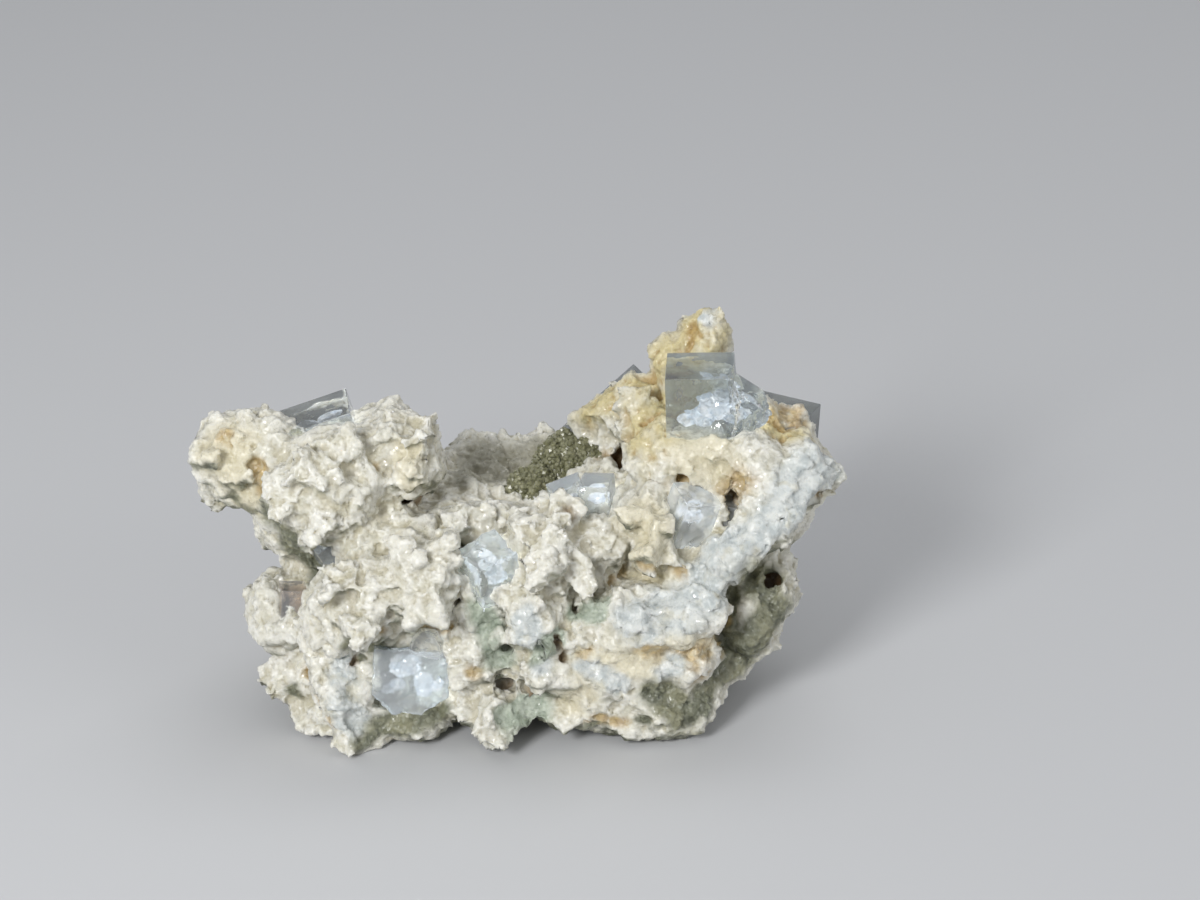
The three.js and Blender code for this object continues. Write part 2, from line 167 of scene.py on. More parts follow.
def drift(points, size, salt=0):
    """Smooth noise from -1 to 1 that changes over about one size."""
    scaled = points / size
    cell = np.floor(scaled).astype(np.int64)
    share = scaled - cell
    share = share * share * (3 - 2 * share)
    total = np.zeros(len(points))
    for corner in itertools.product((0, 1), repeat=3):
        weight = np.prod(np.where(np.array(corner) == 1, share, 1 - share), axis=1)
        total += weight * lattice_hash(cell + np.array(corner), salt)
    return total * 2 - 1


def warped(points, size, amount, salt):
    """Points pushed about by smooth noise, so that what is drawn from them gets ragged edges."""
    return points + amount * np.stack([drift(points, size, salt + k) for k in range(3)], axis=1)


def grains(points, size, salt=0):
    """The nearest of many scattered grains: how deep inside it a point lies, the point's offset
    from its middle, and its three random numbers from -1 to 1."""
    scaled = points / size
    cell = np.floor(scaled).astype(np.int64)
    nearest = np.full(len(points), 9.0)
    second = np.full(len(points), 9.0)
    offset = np.zeros((len(points), 3))
    chosen = np.zeros((len(points), 3), dtype=np.int64)
    for step in itertools.product((-1, 0, 1), repeat=3):
        there = cell + np.array(step)
        seed = np.stack([lattice_hash(there, salt + k) for k in (1, 2, 3)], axis=1)
        away = scaled - (there + seed)
        distance = np.linalg.norm(away, axis=1)
        closer = distance < nearest
        second = np.where(closer, nearest, np.minimum(second, distance))
        nearest = np.where(closer, distance, nearest)
        offset[closer] = away[closer]
        chosen[closer] = there[closer]
    turned = np.stack([lattice_hash(chosen, salt + k) for k in (4, 5, 6)], axis=1) * 2 - 1
    return second - nearest, offset * size, turned


def smooth_step(value, low, high):
    """Rises smoothly from 0 at low to 1 at high."""
    share = np.clip((value - low) / (high - low), 0, 1)
    return share * share * (3 - 2 * share)


def facets(points, size, salt, slope, seam=0.0, width=1.0):
    """Heights of small flats that each lean their own way, with a seam sunk in between them."""
    inside, offset, turned = grains(points, size, salt)
    return slope * np.sum(offset * turned, axis=1) - seam * (1 - smooth_step(inside, 0, width))


def merged_copy(node, name):
    """A CAD node's mesh with its loose triangles joined up, as a new object."""
    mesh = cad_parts[node].data.copy()
    work = bmesh.new()
    work.from_mesh(mesh)
    bmesh.ops.remove_doubles(work, verts=work.verts, dist=1e-6)
    work.to_mesh(mesh)
    work.free()
    mesh.name = name
    mesh.materials.clear()
    piece = bpy.data.objects.new(name, mesh)
    bpy.context.collection.objects.link(piece)
    return piece


def apply_modifiers(piece):
    """Turns a piece and its modifiers into a plain mesh."""
    graph = bpy.context.evaluated_depsgraph_get()
    made = bpy.data.meshes.new_from_object(piece.evaluated_get(graph))
    piece.modifiers.clear()
    piece.data = made
    return piece


def points_of(mesh):
    """A mesh's points, one a row."""
    found = np.empty(len(mesh.vertices) * 3)
    mesh.vertices.foreach_get("co", found)
    return found.reshape(-1, 3)


def normals_of(mesh):
    """The way that the surface looks at each of a mesh's points."""
    found = np.empty(len(mesh.vertices) * 3, dtype=np.float32)
    mesh.vertex_normals.foreach_get("vector", found)
    return found.reshape(-1, 3).astype(float)


def set_points(mesh, points):
    """Moves a mesh's points."""
    mesh.vertices.foreach_set("co", points.ravel())
    mesh.update()


def relaxed(mesh, rounds):
    """A mesh's points evened out: each moves half-way to the middle of its neighbours, each round."""
    edges = np.empty(len(mesh.edges) * 2, dtype=np.int64)
    mesh.edges.foreach_get("vertices", edges)
    edges = edges.reshape(-1, 2)
    points = points_of(mesh)
    count = np.bincount(edges.ravel(), minlength=len(points))[:, None]
    for _ in range(rounds):
        total = np.zeros_like(points)
        for axis in range(3):
            total[:, axis] = (
                np.bincount(edges[:, 0], points[edges[:, 1], axis], len(points))
                + np.bincount(edges[:, 1], points[edges[:, 0], axis], len(points))
            )
        points = (points + total / count) / 2
    return points


def keep_largest_part(mesh):
    """Drops the crumbs that hang free of a mesh's largest connected part."""
    edges = np.empty(len(mesh.edges) * 2, dtype=np.int64)
    mesh.edges.foreach_get("vertices", edges)
    first, second = edges.reshape(-1, 2).T
    part = np.arange(len(mesh.vertices))
    while True:
        lowest = part.copy()
        np.minimum.at(lowest, part[first], part[second])
        np.minimum.at(lowest, part[second], part[first])
        lowest = lowest[lowest]
        if np.array_equal(lowest, part):
            break
        part = lowest
    loose = np.nonzero(part != np.bincount(part).argmax())[0]
    work = bmesh.new()
    work.from_mesh(mesh)
    work.verts.ensure_lookup_table()
    bmesh.ops.delete(work, geom=[work.verts[k] for k in loose], context="VERTS")
    work.to_mesh(mesh)
    work.free()


def near_spots(points, spots, soft=1.25):
    """How much of a kind of surface there is: 1 at a spot, 0 past its radius. A spot is a list of
    places, one or the bends of a streak, and a radius in mm."""
    amount = np.zeros(len(points))
    for places, radius in spots:
        stops = [np.array(place) for place in places]
        if len(stops) == 1:
            stops = stops * 2
        for start, end in zip(stops[:-1], stops[1:]):
            along = end - start
            share = np.clip((points - start) @ along / max(along @ along, 1e-12), 0, 1)
            distance = np.linalg.norm(points - start - share[:, None] * along, axis=1)
            amount = np.maximum(amount, 1 - smooth_step(distance, 0.5 * radius * MM, soft * radius * MM))
    return amount


surface_probe = merged_copy("dolomite_mass", "surface_probe")
mass_surface = BVHTree.FromObject(surface_probe, bpy.context.evaluated_depsgraph_get())
bpy.data.objects.remove(surface_probe)


def shown(*places):
    """Places on the specimen's surface, by where they appear across and up on the plane of sight."""
    found = []
    for across, up in places:
        start = EYE * MM
        direction = (seen(across, up, 0) - start).normalized()
        hit = mass_surface.ray_cast(start, direction)[0]
        found.append(hit or seen(across, up, 0))
    return found


# Where each kind of surface shows: places across and up, and a radius, in mm.
BROKEN_BAND = [
    (shown((34.9, 68), (34.4, 66.4)), 2.2),
    (shown((56, 39.5), (52, 35.5)), 7.4),
    (shown((52, 35), (47.5, 29.8)), 6),
    (shown((47.5, 29.6), (38, 24.5)), 5.4),
    (shown((38, 24.5), (34, 17), (27.5, 13.5)), 6.4),
    (shown((27.5, 13.5), (22, 10.6)), 5.6),
    (shown((26.7, 2), (28.4, 3)), 3),
    (shown((3.4, 2.6), (0.6, 11)), 3.4),
    (shown((12, 2.4), (17, -0.8)), 3),
    (shown((-33.6, 1.4), (-32.5, -4), (-31, -8)), 3.8),
]
HOST_ROCK = [
    (shown((46.8, 17.8), (46.6, 13.5), (44, 8), (41, 5), (38, 2)), 4),
    (shown((38, 2), (35, -1), (33.4, -5)), 3),
    (shown((41, 20), (45, 18), (46, 12), (43, 8), (39, 7)), 5),
    (shown((39, 16), (38.5, 11)), 2.6),
    (shown((-46.6, 29.6), (-43.4, 25.5), (-41, 22), (-37.4, 20.5)), 5),
    (shown((-30, -10.6), (-24, -8.5), (-19.6, -6.4), (-16, -6)), 3.2),
    (shown((24, -1.5), (27.5, -4), (31, -7)), 3.8),
    (shown((21.8, -6.6)), 2.4),
    (shown((-43, -2.3)), 2),
    (shown((-31, 6.2), (-27.6, 6.4)), 3),
    (shown((-30, 3), (-27.5, 1)), 1.4),
]
PALE_GREEN_ROCK = [
    (shown((5.3, 6.7), (2.5, 5)), 2.6),
    (shown((11, 11.6), (14.5, 13)), 3.2),
    (shown((-8, 13.4), (-6, 9), (-4.8, 4)), 3.4),
    (shown((-2.8, -7.4), (2, -6)), 4),
]
TOWER_YELLOW = [
    (shown((34, 66), (30, 60), (26, 53), (24, 46)), 6),
    (shown((22, 54.5), (12, 50)), 3.6),
    (shown((45.6, 46.6), (50, 45)), 3.6),
]
PALE_CREAM = [
    (shown((33.5, 42)), 7),
    (shown((22, 30), (23, 24)), 6),
]
OCHRE_STAIN = [
    # This first spot is painted shade, in the stain's brown: the hollow of rock behind the shoulder cube.
    (shown((48, 49.4), (51, 48)), 3),
    (shown((-48.2, 40), (-48.3, 35.5)), 1.9),
    (shown((-55.3, 45)), 1.8),
    (shown((-44.6, 8)), 1.7),
    (shown((-39.3, 2.2), (-39, 0)), 1.9),
    (shown((-38, -3.4), (-37.6, -4.2)), 1.0),
    (shown((-35.4, -7.6), (-35.2, -8.6)), 1.0),
    (shown((29, 37.3)), 3),
    (shown((37.3, 34), (40, 36.4)), 3),
    (shown((17.5, 40.4), (20, 39.2)), 3),
    (shown((33.5, 4), (32, 1.4), (32.3, 6.3)), 2.2),
    (shown((37, 10.7), (38, 14.3)), 1.5),
    (shown((23.4, 5.6), (29, 6.4), (36, 6)), 1.8),
    (shown((11, 5.5)), 1.5),
    (shown((-9.4, 2)), 1.8),
    (shown((-12.4, 9.8), (-19.2, 9.8), (-26, 8.8)), 1.1),
    (shown((-27.7, 39.4)), 0.9),
    (shown((-27.7, 20.6)), 1.2),
    (shown((22, 21), (29, 20)), 1.2),
    (shown((45.6, 47.8), (48.6, 46)), 2),
    (shown((55.5, 34)), 1.6),
    (shown((13.5, -7.6), (18, -8)), 1.6),
    (shown((18, 19.4), (14.6, 17.4)), 1.4),
    (shown((19, 40)), 2.4),
    (shown((31.2, 64.2)), 1.8),
]
# The back ridge: a grey-brown tint, deepened with painted shade.
SMOKY_SHADED_RIDGE = [
    (shown((-14, 43), (-6, 41), (3, 42)), 5.5),
    (shown((-11, 38), (-2, 37)), 4),
]
CREAM_TINT = [
    (shown((-54.8, 42.9), (-51, 36)), 6),
    (shown((-20.8, 42), (-21, 37)), 3),
    (shown((24, 19), (30, 18)), 4),
    (shown((20, 3), (30, 7), (37, 10)), 4),
    (shown((9, -3), (14, 3)), 3.6),
]
# The hollows: sunk into the relief, and coloured with painted shade over the brown of their stain.
DARK_HOLLOW = [
    (shown((17.5, 40.4), (20, 39.2)), 2.6),
    (shown((-2.6, 9.4)), 1.8),
    (shown((-24, 33.8), (-20, 33.8)), 1.5),
    (shown((-4.5, -1.4), (-1.8, -0.7), (1.4, -1.8)), 1.7),
    (shown((46.8, 18.2)), 1.5),
    (shown((48, 24.5)), 0.9),
    (shown((10, 12.8), (13, 15.2)), 1.2),
    (shown((5.3, 7.9), (7.7, 3.8)), 0.8),
    (shown((-12.4, 9.8)), 1.2),
    (shown((9.3, 30.4)), 1.7),
    (shown((33.6, 4)), 1.1),
    (shown((31.8, 1.4)), 1.0),
    (shown((37, 10.8)), 0.8),
    (shown((-31.6, 2.8)), 1.2),
    (shown((50.6, 46.4)), 1.3),
]


def stone_block(work, corners, depth):
    """Adds a faceted block that stands out of the surface. Each of its front corners is a place
    across and up and how far it stands out towards the eye, in mm. Its root is depth mm deep."""
    middle = sum((Vector(shown(c[:2])[0]) for c in corners), Vector()) / len(corners)
    toward = (EYE * MM - middle).normalized()
    front = []
    for across, up, rise in corners:
        place = Vector(shown((across, up))[0])
        level = (middle - place).dot(toward)
        front.append(work.verts.new(place + toward * (level + rise * MM)))
    root = [work.verts.new(middle + (v.co - middle) * 1.15 - toward * depth * MM) for v in front]
    count = len(front)
    faces = [front, list(reversed(root))]
    for k in range(count):
        after = (k + 1) % count
        faces.append([front[after], front[k], root[k], root[after]])
    made = [work.faces.new(face) for face in faces]
    bmesh.ops.recalc_face_normals(work, faces=made)
    bmesh.ops.triangulate(work, faces=made)


# Blocks and ledges of broken dolomite on the front, each by its front corners, as above.
BLOCKS = [
    [(8.3, 25, 2.6), (6, 21, 2.2), (11.7, 13.8, 1.4), (13.4, 18, 3), (12, 22.6, 2.4)],
    [(12, 22.8, 1.4), (13.2, 17.6, 2.2), (16, 18, 0.4), (15.4, 21.6, 0.2)],
    [(-2.2, 14.6, 2), (-1.6, 7, 0.8), (2.4, 6, 1.2), (5.6, 10, 2.4), (4.6, 14.4, 2.6)],
    [(16.2, 17, 1.8), (16.4, 10, 1.2), (20, 7.6, 0.8), (22, 12, 1), (20, 16.6, 1.6)],
    [(6.4, 19.6, 0.6), (8, 15.6, 1.6), (4, 15.4, 1), (0, 17.4, 0.4), (2, 20.6, 0.2)],
    [(-23, 30.2, 1.2), (-20, 25.6, 2), (-16.6, 26.4, 1.6), (-17, 30, 0.6)],
    [(-15, 30, 1.4), (-13, 26, 2), (-9.6, 28, 1.6), (-10.6, 31.4, 0.4)],
    [(-30, 22.4, 0.6), (-27.6, 17.6, 1.6), (-24.6, 19, 1), (-26.6, 23, 0.4)],
    [(43, 39, 1), (43.4, 35.6, 1.2), (47, 35, 1.2), (46.6, 38.4, 1)],
    [(42.4, 34.6, 1.6), (40.4, 32.4, 1.6), (43, 31, 1.2), (44.6, 33.4, 1)],
    [(-12.6, 13, 0.6), (-9.6, 8.6, 1.4), (-7.4, 12, 0.8), (-9.6, 15.6, 0.4)],
    [(-20, 6.4, 1.2), (-15.6, 4.6, 1.6), (-13, 8, 1), (-17, 8.8, 0.4)],
    [(30.4, 5, 1.2), (27, 1.4, 1.6), (30, 0.2, 1), (31, 2.4, 0.8)],
]


def spread_out(mesh, apart, tries, seed):
    """Places spread over a mesh about as far apart as told, and the way its face looks at each."""
    mesh.calc_loop_triangles()
    corners = points_of(mesh)[np.array([t.vertices[:] for t in mesh.loop_triangles])]
    sides = corners[:, 1:] - corners[:, :1]
    facing = np.cross(sides[:, 0], sides[:, 1])
    area = np.linalg.norm(facing, axis=1)
    chance = np.random.default_rng(seed)
    chosen = chance.choice(len(area), tries, p=area / area.sum())
    share = chance.random((tries, 2))
    share = np.where(share.sum(axis=1, keepdims=True) > 1, 1 - share, share)
    places = corners[chosen, 0] + np.sum(share[:, :, None] * sides[chosen], axis=1)
    kept, taken = [], {}
    for k, cell in enumerate(np.floor(places / apart).astype(int)):
        near = [taken.get(tuple(cell + step)) for step in itertools.product((-1, 0, 1), repeat=3)]
        if all(j is None or np.linalg.norm(places[j] - places[k]) > apart for j in near):
            taken[tuple(cell)] = k
            kept.append(k)
    return places[kept], (facing / area[:, None])[chosen][kept]


def rhomb_blocks(places, facing, sizes, tilt, sink, seed):
    """A mesh of rhombs, one at each place, lying along the surface and leaning at random."""
    chance = np.random.default_rng(seed)
    lean = facing + tilt * chance.uniform(-1, 1, places.shape)
    lean /= np.linalg.norm(lean, axis=1, keepdims=True)
    first = np.cross(lean, chance.normal(size=places.shape))
    first /= np.linalg.norm(first, axis=1, keepdims=True)
    second = np.cross(lean, first)
    signs = np.array(list(itertools.product((-1, 1), repeat=3)))
    shape = signs * sizes[:, None, None] * np.array([0.5, 0.4, 0.3])
    shape[..., 0] += RHOMB_SKEW * shape[..., 1]
    middle = places - facing * (sink * sizes)[:, None]
    corners = middle[:, None] + sum(
        shape[..., axis, None] * way[:, None] for axis, way in enumerate((first, second, lean))
    )
    sides = np.array([(0, 1, 3, 2), (4, 6, 7, 5), (0, 4, 5, 1), (2, 3, 7, 6), (0, 2, 6, 4), (1, 5, 7, 3)])
    faces = (np.arange(len(places))[:, None, None] * 8 + sides).reshape(-1, 4)
    mesh = bpy.data.meshes.new("rhombs")
    mesh.from_pydata(corners.reshape(-1, 3).tolist(), [], faces.tolist())
    return mesh


# Where the rims of the open hollows are ragged with crystals: across, up, and their radius in mm.
HOLLOW_RIMS = [
    (29, 37.2, 2.3), (38.6, 33.6, 2.3), (46.4, 18.4, 2.2), (-13, 10, 2.2), (9.4, 13, 2.6),
    (13.4, 15.6, 2.2), (18.5, 40.5, 2.8), (-39.2, 0.8, 1.8), (-44.4, 8.2, 1.8), (34, 4.4, 1.7),
    (31.6, 1.6, 1.6), (37, 10.6, 1.3), (-2.6, 8.6, 2.6), (6, 6.8, 1.7), (47.6, 23.4, 1.4),
    (-22.6, 33.6, 2.6), (-37.4, 24.4, 2.8), (-30.4, 5.8, 3.4), (-5, -1.4, 2), (1, -1.4, 2),
]
RIM_FACING = (0.0, -0.9, 0.42)  # the way that the front looks

mass = merged_copy("dolomite_mass", "dolomite_mass_surface")
places, facing = spread_out(mass.data, RHOMBS_APART, RHOMB_TRIES, seed=2)
crystal_faces = [
    BVHTree.FromObject(piece, bpy.context.evaluated_depsgraph_get())
    for name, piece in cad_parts.items() if name.startswith("fluorite_")
]
room = np.array([min(face.find_nearest(Vector(place))[3] for face in crystal_faces) for place in places])
bare = np.maximum.reduce([
    near_spots(places, spots, 1.1) for spots in (BROKEN_BAND, HOST_ROCK, PALE_GREEN_ROCK, PALE_CREAM)
])
kept = (bare < 0.5) & (places[:, 2] > 0.0012) & (room > 0.0003)
chance = np.random.default_rng(3)
sizes = chance.uniform(*RHOMB_WIDTHS, len(places)) * (1 - 0.4 * near_spots(places, TOWER_YELLOW, 1.3))
sizes = np.minimum(sizes, 0.0013 + np.minimum(0.7 * room, places[:, 2]))
rhombs = rhomb_blocks(places[kept], facing[kept], sizes[kept], tilt=0.28, sink=0.19, seed=4)
rims = []
for across, up, radius in HOLLOW_RIMS:
    for turn in np.linspace(0, 2 * math.pi, int(4 * radius) + 4, endpoint=False):
        out = radius * chance.uniform(0.95, 1.25)
        rims.append(shown((across + out * math.cos(turn), up + out * math.sin(turn)))[0])
rims = np.array(rims)
facing = np.tile(RIM_FACING, (len(rims), 1))
sizes = chance.uniform(*RIM_WIDTHS, len(rims))
rim_blocks = rhomb_blocks(rims, facing, sizes, tilt=1.5, sink=0.05, seed=6)
work = bmesh.new()
work.from_mesh(mass.data)
work.from_mesh(rhombs)
work.from_mesh(rim_blocks)
for corners in BLOCKS:
    stone_block(work, corners, BLOCK_ROOT)
work.to_mesh(mass.data)
work.free()
remesh = mass.modifiers.new("fine", "REMESH")
remesh.mode = "VOXEL"
remesh.voxel_size = VOXEL
apply_modifiers(mass)
keep_largest_part(mass.data)
set_points(mass.data, relaxed(mass.data, SMOOTHING_ROUNDS))
set_points(mass.data, warped(points_of(mass.data), 0.0032, 0.0005, 95))

# How much of each kind of surface there is at each point. The rock is bare behind and below.
points = points_of(mass.data)
normals = normals_of(mass.data)
ragged = warped(warped(points, 0.0035, 0.0011, 61), 0.0012, 0.0005, 71)
zones = {
    "band": near_spots(ragged, BROKEN_BAND, 1.05),
    "host": near_spots(ragged, HOST_ROCK, 1.05),
    "pale_green": near_spots(ragged, PALE_GREEN_ROCK, 1.05),
    "yellow": near_spots(ragged, TOWER_YELLOW, 1.5),
    "cream": near_spots(ragged, PALE_CREAM + CREAM_TINT, 1.3),
    # The back ridge's grey-brown tint and its painted shade.
    "smoky": near_spots(ragged, SMOKY_SHADED_RIDGE, 1.3),
    "stain": near_spots(ragged, OCHRE_STAIN, 1.5),
    # The hollows: painted shade over the brown of their stain.
    "dark": near_spots(ragged, DARK_HOLLOW, 1.3),
}
patchy = 0.5 + 0.5 * drift(points, 0.011, 3)
hidden_rock = smooth_step(points[:, 1], 0.004, 0.012) * (1 - smooth_step(points[:, 2], 0.018, 0.03))
underside = smooth_step(-normals[:, 2], 0.3, 0.7)
bare = np.maximum(hidden_rock, underside) * smooth_step(patchy, 0.3, 0.55)
zones["host"] = np.maximum(zones["host"], bare) * (1 - 0.8 * zones["band"])
sugary = np.maximum(zones["host"], zones["pale_green"])
crust = np.clip(1 - sugary - zones["band"], 0, 1)

# The relief of each kind: leaves with crinkled edges, cleavage flats, sugary grains, and ribs.
bent = warped(points, 0.0024, 0.0009, 81)
leaves = facets(bent, LEAF, 11, slope=0.27, seam=0.00008, width=0.3)
crinkles = facets(bent, CRINKLE, 17, slope=0.27)
flats = facets(points, CLEAVAGE, 23, slope=0.4, seam=0.00012, width=0.1)
sugar = facets(points, SUGAR, 31, slope=0.26, seam=0.0002, width=0.3)
upright = warped(points, 0.003, 0.0008, 91) * np.array([1, 1, 0.22])
ribs = 0.0007 * (0.5 - np.abs(drift(upright, RIB, 41))) + 0.0004 * drift(upright, 2.3 * RIB, 44)
lumpy = smooth_step(drift(points, 0.006, 7), -0.5, 0.4)
smoother = (1 - 0.5 * zones["yellow"]) * (1 - 0.5 * zones["cream"])
relief = (
    crust * (leaves + crinkles * (0.4 + 0.9 * lumpy)) * smoother
    + zones["band"] * flats
    + sugary * (sugar + 0.4 * flats)
    + zones["yellow"] * ribs
)
relief += 0.0008 * drift(points, 0.008, 51) + 0.00045 * drift(points, 0.0042, 54)
relief -= HOLLOW_DEPTH * near_spots(ragged, DARK_HOLLOW, 1.1) + STAIN_DEPTH * zones["stain"]
relief = np.where(points[:, 2] < 0.0014, np.minimum(relief, 0), relief)
raised = points + normals * relief[:, None]
raised[:, 2] = np.maximum(raised[:, 2], 0)  # it stands on the table top
set_points(mass.data, raised)
sunk = np.sum((relaxed(mass.data, 24) - points_of(mass.data)) * normals_of(mass.data), axis=1)
# The creases: darkened in the colour below with painted shade.
zones["crease"] = smooth_step(sunk, 0.00003, 0.0003)
# The raised rims: lightened in the colour below with a painted highlight.
zones["edge"] = smooth_step(-sunk, 0.00004, 0.00025)
for name, amounts in zones.items():
    zone = mass.data.attributes.new(name, "FLOAT", "POINT")
    zone.data.foreach_set("value", amounts.astype(np.float32))

# The faces are thinned twice: first those that are turned away from the front, then all.
turned_away = smooth_step(normals[:, 1], 0.1, 0.5) * (1 - smooth_step(normals[:, 2], 0.2, 0.5))
turned_away = np.maximum(turned_away, underside)
thinned = mass.vertex_groups.new(name="turned_away")
for level in range(1, 5):
    chosen = np.nonzero(np.round(turned_away * 4) == level)[0]
    thinned.add(chosen.tolist(), level / 4, "REPLACE")
left_behind = SHARE_LEFT_BEHIND * 2 * len(mass.data.polygons)
for group, most in (("turned_away", left_behind), ("", MOST_TRIANGLES)):
    mass.data.calc_loop_triangles()
    thin = mass.modifiers.new("thin", "DECIMATE")
    thin.vertex_group = group
    thin.ratio = min(1, most / len(mass.data.loop_triangles))
    thin.use_collapse_triangulate = True
    apply_modifiers(mass)
mass.vertex_groups.clear()
mass.data.shade_smooth()

# Saddle dolomite: calcium magnesium carbonate, pearly and translucent, cream white. Iron from
# the rock stains its hollows ochre; the deepest hollows, the creases and the back ridge are
# darkened with painted shade, and the raised rims are lightened with a painted highlight. The
# broken band is a cool white, the host rock grey-green.
dolomite, tree, output = new_material("saddle_dolomite")
place = add_node(tree, "ShaderNodeTexCoord").outputs["Object"]


def blotches(tree, place, size_mm, low=0.35, high=0.65):
    """Noise whose blotches are about size_mm across, and which rises from 0 at low to 1 at high."""
    links = {"Vector": place, "Scale": 1000 / size_mm, "Detail": 3.0}
    pattern = add_node(tree, "ShaderNodeTexNoise", links)
    spread = add_node(tree, "ShaderNodeMapRange", {0: pattern.outputs["Fac"], 1: low, 2: high})
    return spread.outputs["Result"]


def layered(tree, place, base, layers):
    """A base colour with layers laid over it in turn. Each is its colour, its strength, the zones
    of the surface that it keeps to, and the size and the low and high of its blotches."""
    colour = linear(base)
    for tint, strength, zones, spots in layers:
        limits = []
        for zone in zones:
            limits.append(add_node(tree, "ShaderNodeAttribute", attribute_name=zone).outputs["Fac"])
        if spots:
            limits.append(blotches(tree, place, *spots))
        amount = strength
        for limit in limits:
            links = {0: amount, 1: limit}
            share = add_node(tree, "ShaderNodeMath", links, operation="MULTIPLY", use_clamp=True)
            amount = share.outputs[0]
        links = {0: amount, 6: colour, 7: linear(tint) if isinstance(tint, str) else tint}
        colour = add_node(tree, "ShaderNodeMix", links, data_type="RGBA").outputs[2]
    return colour


massive_dolomite = layered(tree, place, "b9bfbe", [
    ("dadcd8", 1.0, [], [2.2]),
    ("c9c7b8", 1.0, [], [4, 0.55, 0.7]),
])
grey_green_rock = layered(tree, place, "5a5c4a", [
    ("7c7e6a", 1.0, [], [3]),
    ("86856c", 1.0, [], [6, 0.45, 0.6]),
    ("a5a797", 1.0, [], [0.8, 0.55, 0.75]),
])
colour = layered(tree, place, "d9d7ca", [
    ("cbc7b4", 1.0, [], [11]),
    ("dedcd3", 1.0, [], [2.6]),
    ("aaa691", 0.5, [], [5, 0.5, 0.75]),
    # A painted highlight: the raised rims are lightened.
    ("e7e6de", 0.4, ["edge"], None),
    # Painted shade: the creases are darkened.
    ("a69b74", 0.42, ["crease"], None),
    ("d6cdae", 0.6, ["cream"], None),
    # The back ridge: its grey-brown tint deepened with painted shade.
    ("8e8b79", 0.8, ["smoky"], None),
    ("c9bd92", 1.0, ["yellow"], [5, 0.15, 0.5]),
    ("b0935f", 0.8, ["yellow", "crease"], None),
    (massive_dolomite, 1.0, ["band"], None),
    (grey_green_rock, 1.0, ["host"], None),
    (layered(tree, place, "929c8b", [("b9c0b1", 1.0, [], [2.4])]), 1.0, ["pale_green"], None),
    (layered(tree, place, "c0a466", [("967638", 1.0, [], [1.5])]), 0.7, ["stain"], [1.8, 0.25, 0.5]),
    # The hollows: painted shade over the brown of their stain.
    ("7a5c38", 0.75, ["dark"], None),
])


def facet_bump(tree, place, size_mm, strength, under=None):
    """Small crystal faces, each a flat that leans its own way, as a bump on the one under it."""
    per_size = (1000 / size_mm,) * 3
    cells = add_node(tree, "ShaderNodeTexVoronoi", {"Vector": place, "Scale": 1000 / size_mm})
    links = {0: place, 1: per_size}
    scaled = add_node(tree, "ShaderNodeVectorMath", links, operation="MULTIPLY")
    links = {0: cells.outputs["Position"], 1: per_size}
    middle = add_node(tree, "ShaderNodeVectorMath", links, operation="MULTIPLY")
    links = {0: scaled.outputs[0], 1: middle.outputs[0]}
    away = add_node(tree, "ShaderNodeVectorMath", links, operation="SUBTRACT")
    links = {0: cells.outputs["Color"], 1: (0.5, 0.5, 0.5)}
    lean = add_node(tree, "ShaderNodeVectorMath", links, operation="SUBTRACT")
    links = {0: away.outputs[0], 1: lean.outputs[0]}
    height = add_node(tree, "ShaderNodeVectorMath", links, operation="DOT_PRODUCT")
    links = {"Strength": strength, "Distance": size_mm * MM, "Height": height.outputs["Value"]}
    if under is not None:
        links["Normal"] = under
    return add_node(tree, "ShaderNodeBump", links).outputs["Normal"]


glints = blotches(tree, place, 0.8, low=0.55, high=0.62)
finish = add_node(tree, "ShaderNodeMapRange", {0: glints, 3: 0.46, 4: 0.17})
shader = add_node(tree, "ShaderNodeBsdfPrincipled", {
    "Base Color": colour,
    "Roughness": finish.outputs["Result"],
    "IOR": 1.6,
    "Subsurface Weight": 0.5,
    "Subsurface Radius": (1.0, 0.95, 0.86),
    "Subsurface Scale": 0.0014,
    "Normal": facet_bump(tree, place, 0.7, 0.6, facet_bump(tree, place, 1.7, 0.5)),
})
tree.links.new(shader.outputs["BSDF"], output.inputs["Surface"])
mass.data.materials.append(dolomite)
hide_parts("dolomite_mass")
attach(mass, "root")

# The fluorite crystals: clear cubes of calcium fluoride, faintly blue grey, with flat bright
# faces and healed cracks inside. Each grew into the crust, which shows through it.
FLUORITE_IOR = 1.434
WORN_EDGE = 0.00014
GROWTH_STEP_MM = 1.8
ROOTED = 0.0005  # how far a crystal's hidden faces reach into the crust
FLUORITE_MESH = 0.0008  # longest edge of a face where a crystal is broken
CONCHOIDAL = 0.0021  # a shell-shaped chip of a broken face
CHIP_DEPTH = 0.0004
CRACK_THICKNESS = 0.012  # of a healed crack, as a share of its radius


